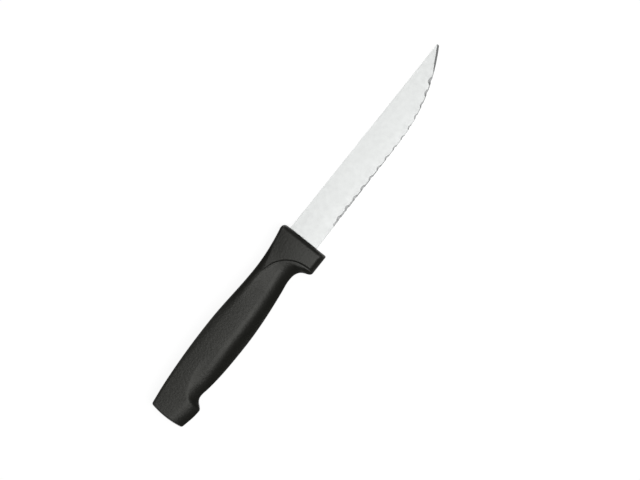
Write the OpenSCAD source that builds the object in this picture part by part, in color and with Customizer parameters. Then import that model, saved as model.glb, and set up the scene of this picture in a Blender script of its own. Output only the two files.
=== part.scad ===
// Steak knife: a stamped steel blade with a scalloped edge, and a handle moulded round its tang.
// The knife lies on its side. X runs to the point, Y to the spine and Z up from the table.
// The blade's own zero is where its spine meets the handle's front face, at mid thickness.

/* [Blade] */
// Length from the handle to the point
blade_l = 114.3; // [100:0.1:130]
// Width where the blade leaves the handle
heel_w = 16.4; // [14:0.1:18]
// Width where the belly starts to curve
belly_w = 15.6; // [13.5:0.1:17]
// Radius of the belly curve
belly_r = 95; // [80:1:120]
// Radius of the blunted point
point_r = 0.75; // [0.4:0.05:1.5]
// Thickness of the sheet steel, kept at the spine and in the tang
sheet_t = 1.2; // [1:0.1:1.4]
// Thickness behind the edge at the handle
heel_t = 0.6; // [0.5:0.05:0.8]
// Thickness of the spine at the point
point_t = 0.8; // [0.7:0.05:0.85]

/* [Scalloped edge] */
// Plain edge between the handle and the start of the bevel
plain_heel = 14; // [8:0.1:25]
// Width of the bevel up the side of the blade where the belly starts
bevel_w = 0.6; // [0.5:0.05:1]
// Steel left under the bevel at the cutting edge
edge_land = 0.1; // [0.06:0.01:0.15]
// Length of bevel before the middle of the first scallop
scallop_lead = 4.6; // [3:0.1:8]
// Distance between scallops along the edge
scallop_pitch = 6.2; // [4.5:0.1:9]
// Length of plain bevel between the middle of the last scallop and the point
scallop_tail = 14.5; // [8:0.1:24]
// Radius of the wheel that grinds a scallop
scallop_r = 8; // [5:0.1:10]
// How far a scallop bites into the edge line
scallop_bite = 0.35; // [0.2:0.01:0.5]
// Width of a scallop's hollow up the side of the blade
scallop_w = 1.15; // [0.8:0.05:1.5]

/* [Tang] */
// Depth of the full blade width inside the handle
root_l = 5; // [3:0.1:8]
// Depth to which the ground part of the blade runs into the handle
mouth_l = 1; // [0.5:0.1:2]
// Length of the whole tang inside the handle
tang_l = 74; // [60:0.5:84]
// Width of the tang
tang_w = 9.6; // [7:0.1:11]
// Distance from the spine line down to the tang
tang_drop = 3; // [2:0.1:4]
// Radius of the corners where the root narrows to the tang
root_r = 1.6; // [0.8:0.1:2]
// Diameter of the holes that the handle's plastic runs through
tang_hole_d = 5; // [3:0.1:6]
// Number of those holes
tang_holes = 3; // [2:1:3]
// How far the first hole lies behind the front face
tang_hole_s = 19; // [14:0.5:22]
// How far the last hole lies in front of the tang's end
tang_tail = 11; // [8:0.5:14]

/* [Handle length and heights] */
// Length of the handle
handle_l = 109.2; // [100:0.1:120]
// Height of the collar's top corner over the spine line
collar_rise = 4.5; // [3.5:0.1:5.5]
// Height of the neck over the spine line
neck_rise = 1.15; // [0.8:0.05:1.8]
// Height of the grip's back over the spine line
back_rise = 2.5; // [2:0.1:3.5]
// How far the top of the butt lies below the spine line
butt_fall = 0.8; // [0.4:0.1:2]
// Depth of the chin below the spine line
chin_drop = 22.4; // [20:0.1:24]
// Depth of the neck below the spine line
neck_drop = 15.5; // [14.5:0.01:16.5]
// Depth of the belly of the grip below the spine line
palm_drop = 19; // [17.5:0.1:20]
// Depth of the finger notch in front of the beak
notch_drop = 17.1; // [16:0.05:18]
// Depth of the beak below the spine line
beak_drop = 21; // [19.5:0.1:22]
// Depth of the bottom corner of the butt below the spine line
butt_drop = 19.3; // [17.5:0.1:20.5]

/* [Handle places, measured back from the front face] */
// Length of the chin's flat bottom
chin_s = 10.3; // [9:0.1:12]
// Where the neck is lowest
neck_s = 20.6; // [19:0.1:23]
// Where the back of the neck is lowest
nape_s = 26.4; // [25:0.1:30]
// Where the grip is widest
palm_s = 59.5; // [52:0.5:66]
// Where the finger notch is deepest
notch_s = 90.5; // [87:0.1:92]
// Where the beak is deepest
beak_s = 97; // [95.5:0.1:100]

/* [Handle thickness and edges] */
// Thickness over the flat sides of the collar
collar_t = 11.2; // [9.5:0.1:12]
// Thickness over the neck
neck_t = 12.3; // [11.8:0.1:12.8]
// Thickness over the grip
grip_t = 13; // [12.6:0.1:14.5]
// Thickness over the end of the butt
butt_t = 11.9; // [10:0.1:12.5]
// How far the sides fall away from their flat crown to the back and to the belly
crown = 0.5; // [0.2:0.05:0.8]
// The same at the neck
neck_crown = 0.15; // [0.05:0.05:0.5]
// How far the sides of the neck lean in from the back to the belly
neck_lean = 0.8; // [0:0.1:1]
// Rounding of the side edges of the front face
front_r = 2.5; // [1:0.1:3]
// Rounding of the top corner of the front face
brow_r = 3.1; // [0.8:0.1:3.4]
// Rounding of the bottom corner of the front face
chin_r = 0.8; // [0.4:0.1:1.5]
// Rounding of the edge round the butt
butt_r = 0.9; // [0.5:0.1:2]
// How far the butt end bulges
butt_bulge = 0.9; // [0.3:0.1:1.5]

/* [Roundings of the handle's long edges] */
// Depth of the back's rounding at the collar
collar_edge = 1.5; // [1:0.1:2]
// Depth of the back's rounding at the nape
nape_round = 3.4; // [2.5:0.1:4.5]
// Depth of the back's rounding where the grip is widest
back_round = 4; // [3:0.1:5.5]
// Depth of the back's rounding at the butt
butt_round = 1.2; // [0.8:0.1:4]
// Height of the belly's rounding at the chin
chin_edge = 3.3; // [2:0.1:4]
// Height of the belly's rounding at the throat behind the chin
throat_round = 8; // [5:0.1:8.5]
// Height of the belly's rounding at the neck
neck_round = 6; // [5:0.1:7.5]
// Height of the belly's rounding where the grip is widest
palm_round = 7.5; // [6:0.1:8.5]
// Height of the belly's rounding at the finger notch
notch_round = 7.3; // [5.5:0.1:8.5]
// Height of the belly's rounding behind the beak
beak_round = 7; // [4:0.1:7.5]

/* [Step behind the collar and crease before the notch] */
// How far the foot of the step lies in front of its crest at the back
step_back_w = 1.8; // [1.2:0.1:2.4]
// How far the foot of the step lies in front of its crest at the chin
step_chin_w = 1; // [0.6:0.05:1.3]
// How far the crest of the step lies behind the chin's end
step_lag = 0.3; // [0:0.1:0.6]
// Middle of the ellipse that the crease follows, measured back from the front face
crease_s = 80; // [78:0.5:82]
// Depth of that middle below the spine line
crease_drop = 20.5; // [19:0.1:22]
// Half length of the ellipse
crease_l = 18.5; // [17:0.1:20]
// Half height of the ellipse
crease_h = 13.5; // [12:0.1:15]
// Depth of the scoop between the crease and the notch
scoop = 0.35; // [0.15:0.05:0.6]

/* [Fit] */
// Gap between the steel and the plastic moulded round it
mould_gap = 0.02; // [0.01:0.01:0.1]

/* [Hidden] */
steel = [0.82, 0.83, 0.84];
black_plastic = [0.09, 0.09, 0.09];
// How far a cutting tool runs past what it cuts
overrun = 1;
// Sides of a full circle, and flats along the belly's arc and round the point
round_fn = 96;
belly_n = 40;
nose_n = 8;

function mix(a, b, t) = a + (b - a) * t;
function ease(t) = let (c = min(max(t, 0), 1)) pow(c, 2) * (3 - 2 * c);

// Belly circle: it rests on the belly width and meets the nose circle at the point
nose = [blade_l - point_r, -point_r];
belly_y = belly_r - belly_w;
belly_x = nose[0] - sqrt(pow(belly_r - point_r, 2) - pow(belly_y - nose[1], 2));
nose_angle = atan2(nose[0] - belly_x, belly_y - nose[1]);

// The edge, followed by its length: a straight run from the heel and then the belly's arc
heel_reach = norm([belly_x, belly_y + heel_w]);
straight_angle = atan2(belly_y + heel_w, belly_x) - asin(belly_r / heel_reach);
straight_l = sqrt(pow(heel_reach, 2) - pow(belly_r, 2));
edge_l = straight_l + belly_r * (nose_angle - straight_angle) * PI / 180;
function bend_at(s) = straight_angle + max(s - straight_l, 0) / belly_r * 180 / PI;
function round_point(c, r, a) = c + r * [sin(a), -cos(a)];
function edge_at(s) = s < straight_l
    ? [s * cos(straight_angle), s * sin(straight_angle) - heel_w]
    : round_point([belly_x, belly_y], belly_r, bend_at(s));
function arc(c, r, a, b, n) = [for (i = [0:n]) round_point(c, r, mix(a, b, i / n))];

// Slopes of the two ground sides, towards the edge and towards the point
edge_slope = (sheet_t - heel_t) / 2 / heel_w;
point_slope = (sheet_t - point_t) / 2 / blade_l;
function steel_t(p) = sheet_t + 2 * (p[1] * edge_slope - p[0] * point_slope);

first_scallop = plain_heel + scallop_lead;
scallop_count = 1 + floor((edge_l - first_scallop - scallop_tail) / scallop_pitch);
// Bevel height, taken where the belly starts
bevel_t = steel_t([belly_x, -belly_w]);
bevel_slope = atan2(bevel_t - edge_land, bevel_w);
// How far the straight bevel stands outside the belly's, so that they cross on a line
bevel_meet_share = 0.03;
bevel_meet = bevel_meet_share * bevel_w;
// How far the belly's bevel starts before the belly, past that line
bevel_lap = 2 * sqrt(2 * belly_r * bevel_meet);

// Where the ground part of the blade ends, inside the root
mouth_end = (mouth_l + root_l) / 2;
tang_hole_pitch = (tang_l - tang_tail - tang_hole_s) / (tang_holes - 1);

// The blade in front of the handle, before it is ground
module blade_outline() {
    polygon(concat([[-mouth_end, 0], [-mouth_end, -heel_w], [0, -heel_w]],
        arc([belly_x, belly_y], belly_r, straight_angle, nose_angle, belly_n),
        [for (i = [1:nose_n]) round_point(nose, point_r, mix(nose_angle, 180, i / nose_n))]));
}

// Tang and root behind the front face, grown all round by a gap
module tang_blank(gap) {
    tang_mid = -tang_drop - tang_w / 2;
    height = sheet_t + 2 * gap;
    translate([0, 0, -height / 2]) difference() {
        union() {
            translate([-root_l - gap, -heel_w - gap, 0])
                cube([root_l - mouth_l + 2 * gap, heel_w + 2 * gap, height]);
            translate([tang_w / 2 - tang_l, -tang_drop - tang_w - gap, 0])
                cube([tang_l - tang_w / 2, tang_w + 2 * gap, height]);
            translate([tang_w / 2 - tang_l, tang_mid, 0])
                cylinder(r = tang_w / 2 + gap, h = height, $fn = round_fn);
            for (corner = [[-tang_drop, 1], [-tang_drop - tang_w, -1]])
                translate([-root_l - gap, corner[0] + corner[1] * gap, 0]) root_fillet(corner[1], height);
        }
        for (i = [0:tang_holes - 1])
            translate([-tang_hole_s - i * tang_hole_pitch, tang_mid, -overrun])
                cylinder(d = tang_hole_d - 2 * gap, h = height + 2 * overrun, $fn = round_fn);
    }
}

// Inside corner between the root and the tang
module root_fillet(side, height) {
    difference() {
        translate([-root_r, side > 0 ? 0 : -root_r, 0]) cube([root_r, root_r, height]);
        translate([-root_r, side * root_r, -overrun])
            cylinder(r = root_r, h = height + 2 * overrun, $fn = round_fn);
    }
}

// Everything above the plane that one side of the blade is ground to
module above_ground_side(gap) {
    reach = blade_l + heel_w;
    translate([0, 0, sheet_t / 2 + gap])
        rotate([atan(edge_slope), atan(point_slope), 0])
            translate([-reach, -reach, 0]) cube([2 * reach, 2 * reach, sheet_t]);
}

// One scallop's wheel, with its edge point at zero and the blade's middle on Y
module scallop_wheel(t) {
    slope = atan2(t, scallop_w);
    reach = scallop_w + sheet_t + scallop_r;
    translate([0, scallop_bite - scallop_r * sin(slope), scallop_r * cos(slope) - t / 2])
        rotate([slope - 90, 0, 0])
            translate([0, 0, -reach]) cylinder(r = scallop_r, h = 2 * reach, $fn = round_fn);
}

// What the bevel takes off the straight run of the edge
module straight_bevel() {
    translate([0, -heel_w, 0]) rotate([0, 0, straight_angle])
        translate([plain_heel, -bevel_meet, edge_land - bevel_t / 2])
            rotate([bevel_slope, 0, 0]) translate([0, -overrun, 0])
                cube([straight_l - plain_heel + bevel_lap / 2, overrun + 2 * bevel_w, sheet_t]);
}

// What the bevel takes off the belly, outside a cone
module belly_bevel() {
    run_out = overrun / tan(bevel_slope);
    height = bevel_t + 2 * overrun;
    land_out = edge_land / tan(bevel_slope);
    translate([belly_x, belly_y, 0]) rotate([0, 0, straight_angle]) translate([0, 0, -height / 2])
        difference() {
            translate([-bevel_lap, -belly_r - overrun, 0]) cube([belly_r, belly_r, height]);
            cylinder(r1 = belly_r + land_out + run_out, r2 = belly_r - bevel_w - run_out, h = height,
                $fn = round_fn);
        }
}

module blade() {
    color(steel) translate([front_x, spine_y, mid_z]) {
        tang_blank(0);
        difference() {
            translate([0, 0, -sheet_t / 2]) linear_extrude(sheet_t) blade_outline();
            above_ground_side(0);
            mirror([0, 0, 1]) above_ground_side(0);
            straight_bevel();
            belly_bevel();
            for (i = [0:scallop_count - 1]) {
                s = first_scallop + i * scallop_pitch;
                translate(concat(edge_at(s), 0)) rotate([0, 0, bend_at(s)])
                    scallop_wheel(steel_t(edge_at(s)));
            }
        }
    }
}

// Mouth of the slot that the plastic leaves where the blade comes out
module blade_slot() {
    difference() {
        translate([-mouth_end, -heel_w - mould_gap, -sheet_t / 2 - mould_gap])
            cube([mouth_end + overrun, heel_w + 2 * mould_gap, sheet_t + 2 * mould_gap]);
        above_ground_side(mould_gap);
        mirror([0, 0, 1]) above_ground_side(mould_gap);
    }
}

// Smooth value along a list of [place, value, slope]
function hermite(a, b, s) = let (d = b[0] - a[0], t = (s - a[0]) / d)
    (1 + 2 * t) * pow(1 - t, 2) * a[1] + t * pow(1 - t, 2) * d * a[2]
    + pow(t, 2) * (3 - 2 * t) * b[1] + pow(t, 2) * (t - 1) * d * b[2];
function along(knots, s) = let (i = max([for (k = [0:len(knots) - 2]) if (k == 0 || knots[k][0] <= s) k]))
    hermite(knots[i], knots[i + 1], min(s, knots[len(knots) - 1][0]));
// How much a quarter round of radius r takes off at a distance s from its end
function rounded_off(r, s) = s >= r ? 0 : r - sqrt(pow(r, 2) - pow(r - s, 2));

// Outline of the handle above and below the spine line. A point between two named ones is given
// by its shares of the way along and down, and each point of the outline by place, value and slope
chin_turn_shares = [0.22, 0.33];
chin_foot_shares = [0.48, 0.85];
throat_shares = [0.165, 0.24];
finger_shares = [0.85, 0.66];
beak_turn_shares = [0.62, 0.47];
chin = [chin_s, -chin_drop];
neck = [neck_s, -neck_drop];
palm = [palm_s, -palm_drop];
notch = [notch_s, -notch_drop];
beak = [beak_s, -beak_drop];
function between(a, b, shares) = [mix(a[0], b[0], shares[0]), mix(a[1], b[1], shares[1])];
top_line = [[0, collar_rise, -0.24], [nape_s, neck_rise, 0], [palm_s, back_rise, 0],
    [handle_l, -butt_fall, -0.14]];
low_line = [[0, -chin_drop, 0], concat(chin, 0), concat(between(chin, neck, chin_turn_shares), 2.8),
    concat(between(chin, neck, chin_foot_shares), 0.6), concat(neck, 0),
    concat(between(neck, palm, throat_shares), -0.14), concat(palm, 0),
    concat(between(palm, notch, finger_shares), 0.135), concat(notch, 0),
    concat(between(notch, beak, beak_turn_shares), -1.15), concat(beak, 0), [handle_l, -butt_drop, 0.2]];

// Places where the chin's edge stops being sharp and where the beak's starts to be
collar_share = 0.9;
beak_end_share = 0.08;
throat_share = 0.2;
collar_end = collar_share * chin_s;
throat_s = mix(chin_s, neck_s, throat_share);
beak_back = mix(beak_s, handle_l, beak_end_share);
// Reach of the roundings of the long edges, down from the back and up from the belly
back_reach = [[0, collar_edge, 0], [chin_s, collar_edge, 0], [nape_s, nape_round, 0],
    [palm_s, back_round, 0], [notch_s, butt_round, 0], [handle_l, butt_round, 0]];
belly_reach = [[0, chin_edge, 0], [collar_end, chin_edge, 0], [throat_s, throat_round, 0],
    [neck_s, neck_round, 0], [palm_s, palm_round, 0], [notch_s, notch_round, 0],
    [beak_back, beak_round, 0], [handle_l, beak_round, 0]];
// Shares of the half thickness that the same roundings take at the seam
back_shares = [[0, 0.14, 0], [chin_s, 0.14, 0], [nape_s, 0.1, 0], [palm_s, 0.025, 0],
    [notch_s, 0.01, 0], [handle_l, 0.01, 0]];
belly_shares = [[0, 0.3, 0], [collar_end, 0.3, 0], [throat_s, 0.2, 0], [neck_s, 0.46, 0],
    [palm_s, 0.57, 0], [notch_s, 0.53, 0], [beak_back, 0.53, 0], [handle_l, 0.53, 0]];

// Thickness along the grip, full from a share of the way between the nape and the palm
full_share = 0.35;
side_line = [[chin_s, neck_t, 0], [nape_s, neck_t, 0], [mix(nape_s, palm_s, full_share), grip_t, 0],
    [palm_s, grip_t, 0], [handle_l, butt_t, 0]];
collar_line = [[chin_s, collar_t, 0], [neck_s, collar_t, 0], [nape_s, neck_t, 0], [palm_s, neck_t, 0]];
butt_crown_share = 0.7;
lean_end_share = 0.6;
lean_end = mix(nape_s, palm_s, lean_end_share);
crown_line = [[0, crown, 0], [chin_s, crown, 0], [neck_s, neck_crown, 0], [nape_s, neck_crown, 0],
    [palm_s, crown, 0], [handle_l, butt_crown_share * crown, 0]];
lean_line = [[0, 0, 0], [chin_s, 0, 0], [neck_s, neck_lean, 0], [nape_s, neck_lean, 0],
    [lean_end, 0, 0], [handle_l, 0, 0]];

// The grip stands proud of the collar along an arc that fades out at the nape, and falls into a scoop
// before the notch inside a crease that grows between two shares of the way from the palm to the notch
crease_shares = [0.28, 0.93];
scoop_reach_share = 0.35;
crease_on = mix(palm_s, notch_s, crease_shares[0]);
crease_full = mix(palm_s, notch_s, crease_shares[1]);
function scooped(s, y) = let (
    inside = 1 - norm([max(s - crease_s, 0) / crease_l, max(y + crease_drop, 0) / crease_h]))
    ease((s - crease_on) / (crease_full - crease_on)) * scoop
        * sin(90 * min(max(inside / scoop_reach_share, 0), 1));
function half_t(s, y, lift) =
    mix(along(collar_line, max(s, chin_s)), along(side_line, max(s, chin_s)), lift) / 2 - scooped(s, y);

// Sections of the handle: [place on the back, place on the belly, bend, lift of the grip]
function spread(n, a, b, power = 1) = [for (i = [1:n]) let (f = i / n)
    [mix(a[0], b[0], f), mix(a[1], b[1], pow(f, power)), mix(a[2], b[2], ease(f)), mix(a[3], b[3], f)]];
front_end = [front_r, front_r, 0, 0];
function step_at(share, lift) =
    [nape_s - share * step_back_w, chin_s + step_lag - share * step_chin_w, 1, lift];
step_foot = step_at(1, 0);
step_low_shares = [0.55, 0.2];
step_high_shares = [0.2, 0.8];
step_crest = step_at(0, 1);
// How much closer the sections behind the chin stand than those under the nape
throat_crowding = 1.6;
neck_end_shares = [0.53, 0.24];
palm_end_share = 0.8;
beak_end = mix(beak_s, handle_l, 2 * beak_end_share);
palm_end = mix(palm_s, notch_s, palm_end_share);
neck_end = [mix(nape_s, palm_s, neck_end_shares[0]), mix(neck_s, palm_s, neck_end_shares[1]), 0, 1];
butt_start = handle_l - butt_r;
sections = concat(
    [for (a = [0:30:90]) let (s = front_r * (1 - cos(a))) [s, s, 0, 0]],
    spread(7, front_end, step_foot),
    [step_at(step_low_shares[0], step_low_shares[1]), step_at(step_high_shares[0], step_high_shares[1])],
    [step_crest],
    spread(14, step_crest, neck_end, throat_crowding),
    spread(13, neck_end, [palm_end, palm_end, 0, 1]),
    spread(15, [palm_end, palm_end, 0, 1], [beak_end, beak_end, 0, 1]),
    spread(5, [beak_end, beak_end, 0, 1], [butt_start, butt_start, 0, 1]),
    [for (a = [60:-30:0]) let (s = handle_l - butt_r * (1 - cos(a))) [s, s, 0, 1]]);

// The crown stays flat over a share of the height
crown_flat_share = 0.3;
side_n = 10;
corner_n = 6;
function cut_off(s) = max(rounded_off(front_r, s), rounded_off(butt_r, handle_l - s));
function top_at(s) = along(top_line, s) - max(rounded_off(brow_r, s), rounded_off(butt_r, handle_l - s));
function low_at(s) = along(low_line, s) + max(rounded_off(chin_r, s), rounded_off(butt_r, handle_l - s));
butt_middle = -(butt_fall + butt_drop) / 2;
function bulged(s, y) = s - ease((s - beak_s) / (handle_l - beak_s))
    * butt_bulge * pow((y - butt_middle) / (butt_middle + butt_drop), 2);

function slump(s, share, lift) = along(lean_line, s) * lift * share + along(crown_line, s)
    * pow(max(abs(2 * share - 1) - crown_flat_share, 0) / (1 - crown_flat_share), 2);

// A point of the side, less what the crown and a share for the rounding take off it
function crowned_point(s, y, lift, top, low, share) = [bulged(s, y), y,
    (half_t(s, y, lift) - cut_off(s) - slump(s, (top - y) / (top - low), lift)) * (1 - share)];

// Points of one section from the back to the belly on the upper side, as [place, height, half thickness]
function half_section(q) = let (
    top = top_at(q[0]),
    low = low_at(q[1]),
    back = along(back_reach, q[0]),
    belly = along(belly_reach, q[1]),
    back_share = along(back_shares, q[0]),
    belly_share = along(belly_shares, q[1]))
    concat(
        [for (i = [0:corner_n]) let (t = i / corner_n)
            crowned_point(q[0], top - back * t, q[3], top, low, back_share * pow(1 - t, 2))],
        [for (i = [1:side_n - 1]) let (
            t = i / side_n,
            s = mix(q[0], q[1], mix(t, sin(90 * t), q[2])),
            y = mix(top - back, low + belly, mix(t, 1 - cos(90 * t), q[2])))
            crowned_point(s, y, q[3], top, low, 0)],
        [for (i = [corner_n:-1:0]) let (t = i / corner_n)
            crowned_point(q[1], low + belly * t, q[3], top, low, belly_share * pow(1 - t, 2))]);

half_n = 2 * (corner_n + 1) + side_n - 1;
ring_n = 2 * half_n;
handle_points = [for (q = sections) let (half = half_section(q)) each concat(
    [for (p = half) [-p[0], p[1], p[2]]],
    [for (i = [half_n - 1:-1:0]) [-half[i][0], half[i][1], -half[i][2]]])];
handle_faces = let (last = (len(sections) - 1) * ring_n) concat(
    [[for (i = [ring_n - 1:-1:0]) i]],
    [for (j = [0:len(sections) - 2]) for (i = [0:ring_n - 1]) let (a = j * ring_n, k = (i + 1) % ring_n)
        [a + i, a + k, a + ring_n + k, a + ring_n + i]],
    [for (i = [0:half_n - 2]) let (k = ring_n - 1 - i) [last + i, last + i + 1, last + k - 1, last + k]]);

// The knife's place: its box is centred on X and Y and stands on Z = 0
front_x = (handle_l - blade_l) / 2;
spine_y = -(max([for (p = handle_points) p[1]]) + min([for (p = handle_points) p[1]])) / 2;
mid_z = grip_t / 2;

module handle() {
    color(black_plastic) translate([front_x, spine_y, mid_z]) difference() {
        polyhedron(handle_points, handle_faces, convexity = 6);
        tang_blank(mould_gap);
        blade_slot();
    }
}

blade();
handle();
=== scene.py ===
"""A steak knife lying on a pale floor: a ground steel blade in a black moulded handle.

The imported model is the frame. Sizes of the knife are in millimetres, as a drawing would give them, and
are turned into metres where a mesh is made. Finishes, light and camera are in metres. At the end of a
name l is a length, w a width, t a thickness, r a radius, d a diameter, s a place along the knife and n
a number of points or sections.
"""

import logging
import math
from dataclasses import dataclass
from enum import Enum
from functools import cache
from typing import NamedTuple

import bmesh
import bpy
from bmesh.types import BMesh, BMFace, BMVert
from bpy.types import ID, Material, Mesh, Node, NodeSocket, NodeTree, Object
from mathutils import Matrix, Vector


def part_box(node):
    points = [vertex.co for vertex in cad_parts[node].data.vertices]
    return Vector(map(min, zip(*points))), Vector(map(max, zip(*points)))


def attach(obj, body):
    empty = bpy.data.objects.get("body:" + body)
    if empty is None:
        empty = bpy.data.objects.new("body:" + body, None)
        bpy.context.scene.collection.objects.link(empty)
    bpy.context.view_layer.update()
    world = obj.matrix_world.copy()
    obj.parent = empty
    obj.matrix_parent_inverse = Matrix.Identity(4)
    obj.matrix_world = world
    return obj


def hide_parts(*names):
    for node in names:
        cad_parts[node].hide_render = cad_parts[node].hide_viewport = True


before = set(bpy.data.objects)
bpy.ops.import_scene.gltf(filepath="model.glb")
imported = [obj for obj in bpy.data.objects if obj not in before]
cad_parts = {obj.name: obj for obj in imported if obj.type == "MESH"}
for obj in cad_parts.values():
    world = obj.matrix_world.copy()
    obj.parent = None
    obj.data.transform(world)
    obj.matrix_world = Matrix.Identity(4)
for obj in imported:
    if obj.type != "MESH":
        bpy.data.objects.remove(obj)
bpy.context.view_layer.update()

MM = 0.001
TINY = 1e-12
# Where the picture's middle lies, from where the spine meets the handle's front face, in metres
PICTURE_MIDDLE = (0.004416, -0.01497)
log = logging.getLogger("steak_knife")

Point = tuple[float, float]
Pair = tuple[float, float]
Colour = tuple[float, float, float]
Knot = tuple[float, float, float]
Knots = list[Knot]


class Slot(Enum):
    """Material slots, one listed beside each piece."""

    STEEL = "steel"
    BLACK_PLASTIC = "black_plastic"


class Join(Enum):
    """Ways of working one solid with another."""

    CUT = "DIFFERENCE"
    FUSE = "UNION"


class Section(NamedTuple):
    """Section of the handle: its places on back and belly, its bend, and how far the grip has risen."""

    back_s: float
    belly_s: float
    bend: float
    lift: float


def mix(a: float, b: float, t: float) -> float:
    """Returns the value a share t of the way from a to b."""
    return a + (b - a) * t


def clamped(t: float) -> float:
    """Returns a value held between 0 and 1."""
    return min(max(t, 0.0), 1.0)


def ease(t: float) -> float:
    """Returns a smooth step from 0 to 1."""
    c = clamped(t)
    return c * c * (3 - 2 * c)


def rounded_off(radius: float, s: float) -> float:
    """Returns what a quarter round takes off at a distance s from its end."""
    return 0.0 if s >= radius else radius - math.sqrt(radius**2 - (radius - s) ** 2)


def along(knots: Knots, s: float) -> float:
    """Reads a smooth curve through knots.

    Args:
        knots: (place, value, slope) of each point, in order of place.
        s: The place to read.

    Returns:
        The value of the curve at s.
    """
    s = min(s, knots[-1][0])
    i = max([k for k in range(len(knots) - 1) if knots[k][0] <= s], default=0)
    (a, va, da), (b, vb, db) = knots[i], knots[i + 1]
    d = b - a
    t = (s - a) / d
    return (
        (1 + 2 * t) * (1 - t) ** 2 * va
        + t * (1 - t) ** 2 * d * da
        + t**2 * (3 - 2 * t) * vb
        + t**2 * (t - 1) * d * db
    )


def level(*points: Point) -> Knots:
    """Returns knots without slope through points."""
    return [(s, value, 0.0) for s, value in points]


def spaced(a: float, b: float, step: float) -> list[float]:
    """Returns even places from a to b, no further apart than step."""
    count = max(1, math.ceil(abs(b - a) / step))
    return [mix(a, b, i / count) for i in range(count + 1)]


def shares_of(count: int) -> list[float]:
    """Returns where each of count equal shares of 1 ends."""
    return [(i + 1) / count for i in range(count)]


def new_object(name: str, data: ID) -> Object:
    """Links a mesh, a lamp or a camera to the scene as an object at the origin."""
    obj = bpy.data.objects.new(name, data)
    bpy.context.scene.collection.objects.link(obj)
    return obj


def solid_from(name: str, bm: BMesh, origin: Vector) -> Object:
    """Turns a drawn solid into an object.

    Args:
        name: Name of the object and its mesh.
        bm: The solid in millimetres, from the knife's own zero. It is freed.
        origin: Where the knife's own zero lies, in millimetres.

    Returns:
        The object, in metres and with its place in its mesh.
    """
    bmesh.ops.remove_doubles(bm, verts=bm.verts, dist=1e-5)
    bmesh.ops.recalc_face_normals(bm, faces=bm.faces)
    bm.transform(Matrix.Scale(MM, 4) @ Matrix.Translation(origin))
    mesh = bpy.data.meshes.new(name)
    bm.to_mesh(mesh)
    bm.free()
    return new_object(name, mesh)


def settled(obj: Object) -> None:
    """Puts the result of an object's modifiers into its mesh and drops the modifiers."""
    graph = bpy.context.evaluated_depsgraph_get()
    mesh = bpy.data.meshes.new_from_object(obj.evaluated_get(graph))
    obj.modifiers.clear()
    old, obj.data = obj.data, mesh
    bpy.data.meshes.remove(old)
    mesh.name = obj.name


def worked(target: Object, tool: Object, how: Join, crossing: bool = False) -> None:
    """Cuts or fuses one solid with another and throws the tool away.

    Args:
        target: The solid that stays.
        tool: The solid that is used up.
        how: Whether it is cut or fused.
        crossing: Whether the tool's own parts run through each other.
    """
    mod = target.modifiers.new("work", "BOOLEAN")
    mod.object = tool
    mod.operation = how.value
    mod.solver = "EXACT"
    mod.use_self = crossing
    mod.material_mode = "TRANSFER"
    settled(target)
    bpy.data.objects.remove(tool)


def prism(outline: list[Point], half_t: float, holes: list[list[Point]]) -> BMesh:
    """Draws a flat plate with straight sides.

    Args:
        outline: Corners of the plate, in order.
        half_t: Half its thickness.
        holes: Corners of each hole through it.

    Returns:
        The plate as a closed solid.
    """
    bm = bmesh.new()
    edges = []
    for loop in (outline, *holes):
        verts = [bm.verts.new((x, y, -half_t)) for x, y in loop]
        edges += [bm.edges.new((verts[i - 1], verts[i])) for i in range(len(verts))]
    faces = bmesh.ops.triangle_fill(bm, edges=edges, use_beauty=True)["geom"]
    faces = [f for f in faces if isinstance(f, BMFace)]
    raised = bmesh.ops.extrude_face_region(bm, geom=faces, use_keep_orig=True)["geom"]
    raised = [v for v in raised if isinstance(v, BMVert)]
    bmesh.ops.translate(bm, verts=raised, vec=(0, 0, 2 * half_t))
    return bm


def lofted(rings: list[list[Vector]]) -> BMesh:
    """Skins closed rings of equal length and closes the first and the last one."""
    bm = bmesh.new()
    rows = [[bm.verts.new(p) for p in ring] for ring in rings]
    count = len(rows[0])
    for a, b in zip(rows, rows[1:]):
        for i in range(count):
            k = (i + 1) % count
            bm.faces.new((a[i], a[k], b[k], b[i]))
    bm.faces.new(rows[0])
    bm.faces.new(rows[-1])
    return bm


def shaded(obj: Object, sharp_from: float, finish: Material | None = None) -> None:
    """Gives an object its shading, and a finish in place of its materials where one is given.

    Args:
        obj: The object to dress.
        sharp_from: Angle between two faces, in degrees, from which their edge looks sharp.
        finish: Material of the whole object.
    """
    mesh = obj.data
    if finish:
        mesh.materials.clear()
        mesh.materials.append(finish)
    mesh.shade_smooth()
    mesh.set_sharp_from_angle(angle=math.radians(sharp_from))
    mesh.update()


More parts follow.
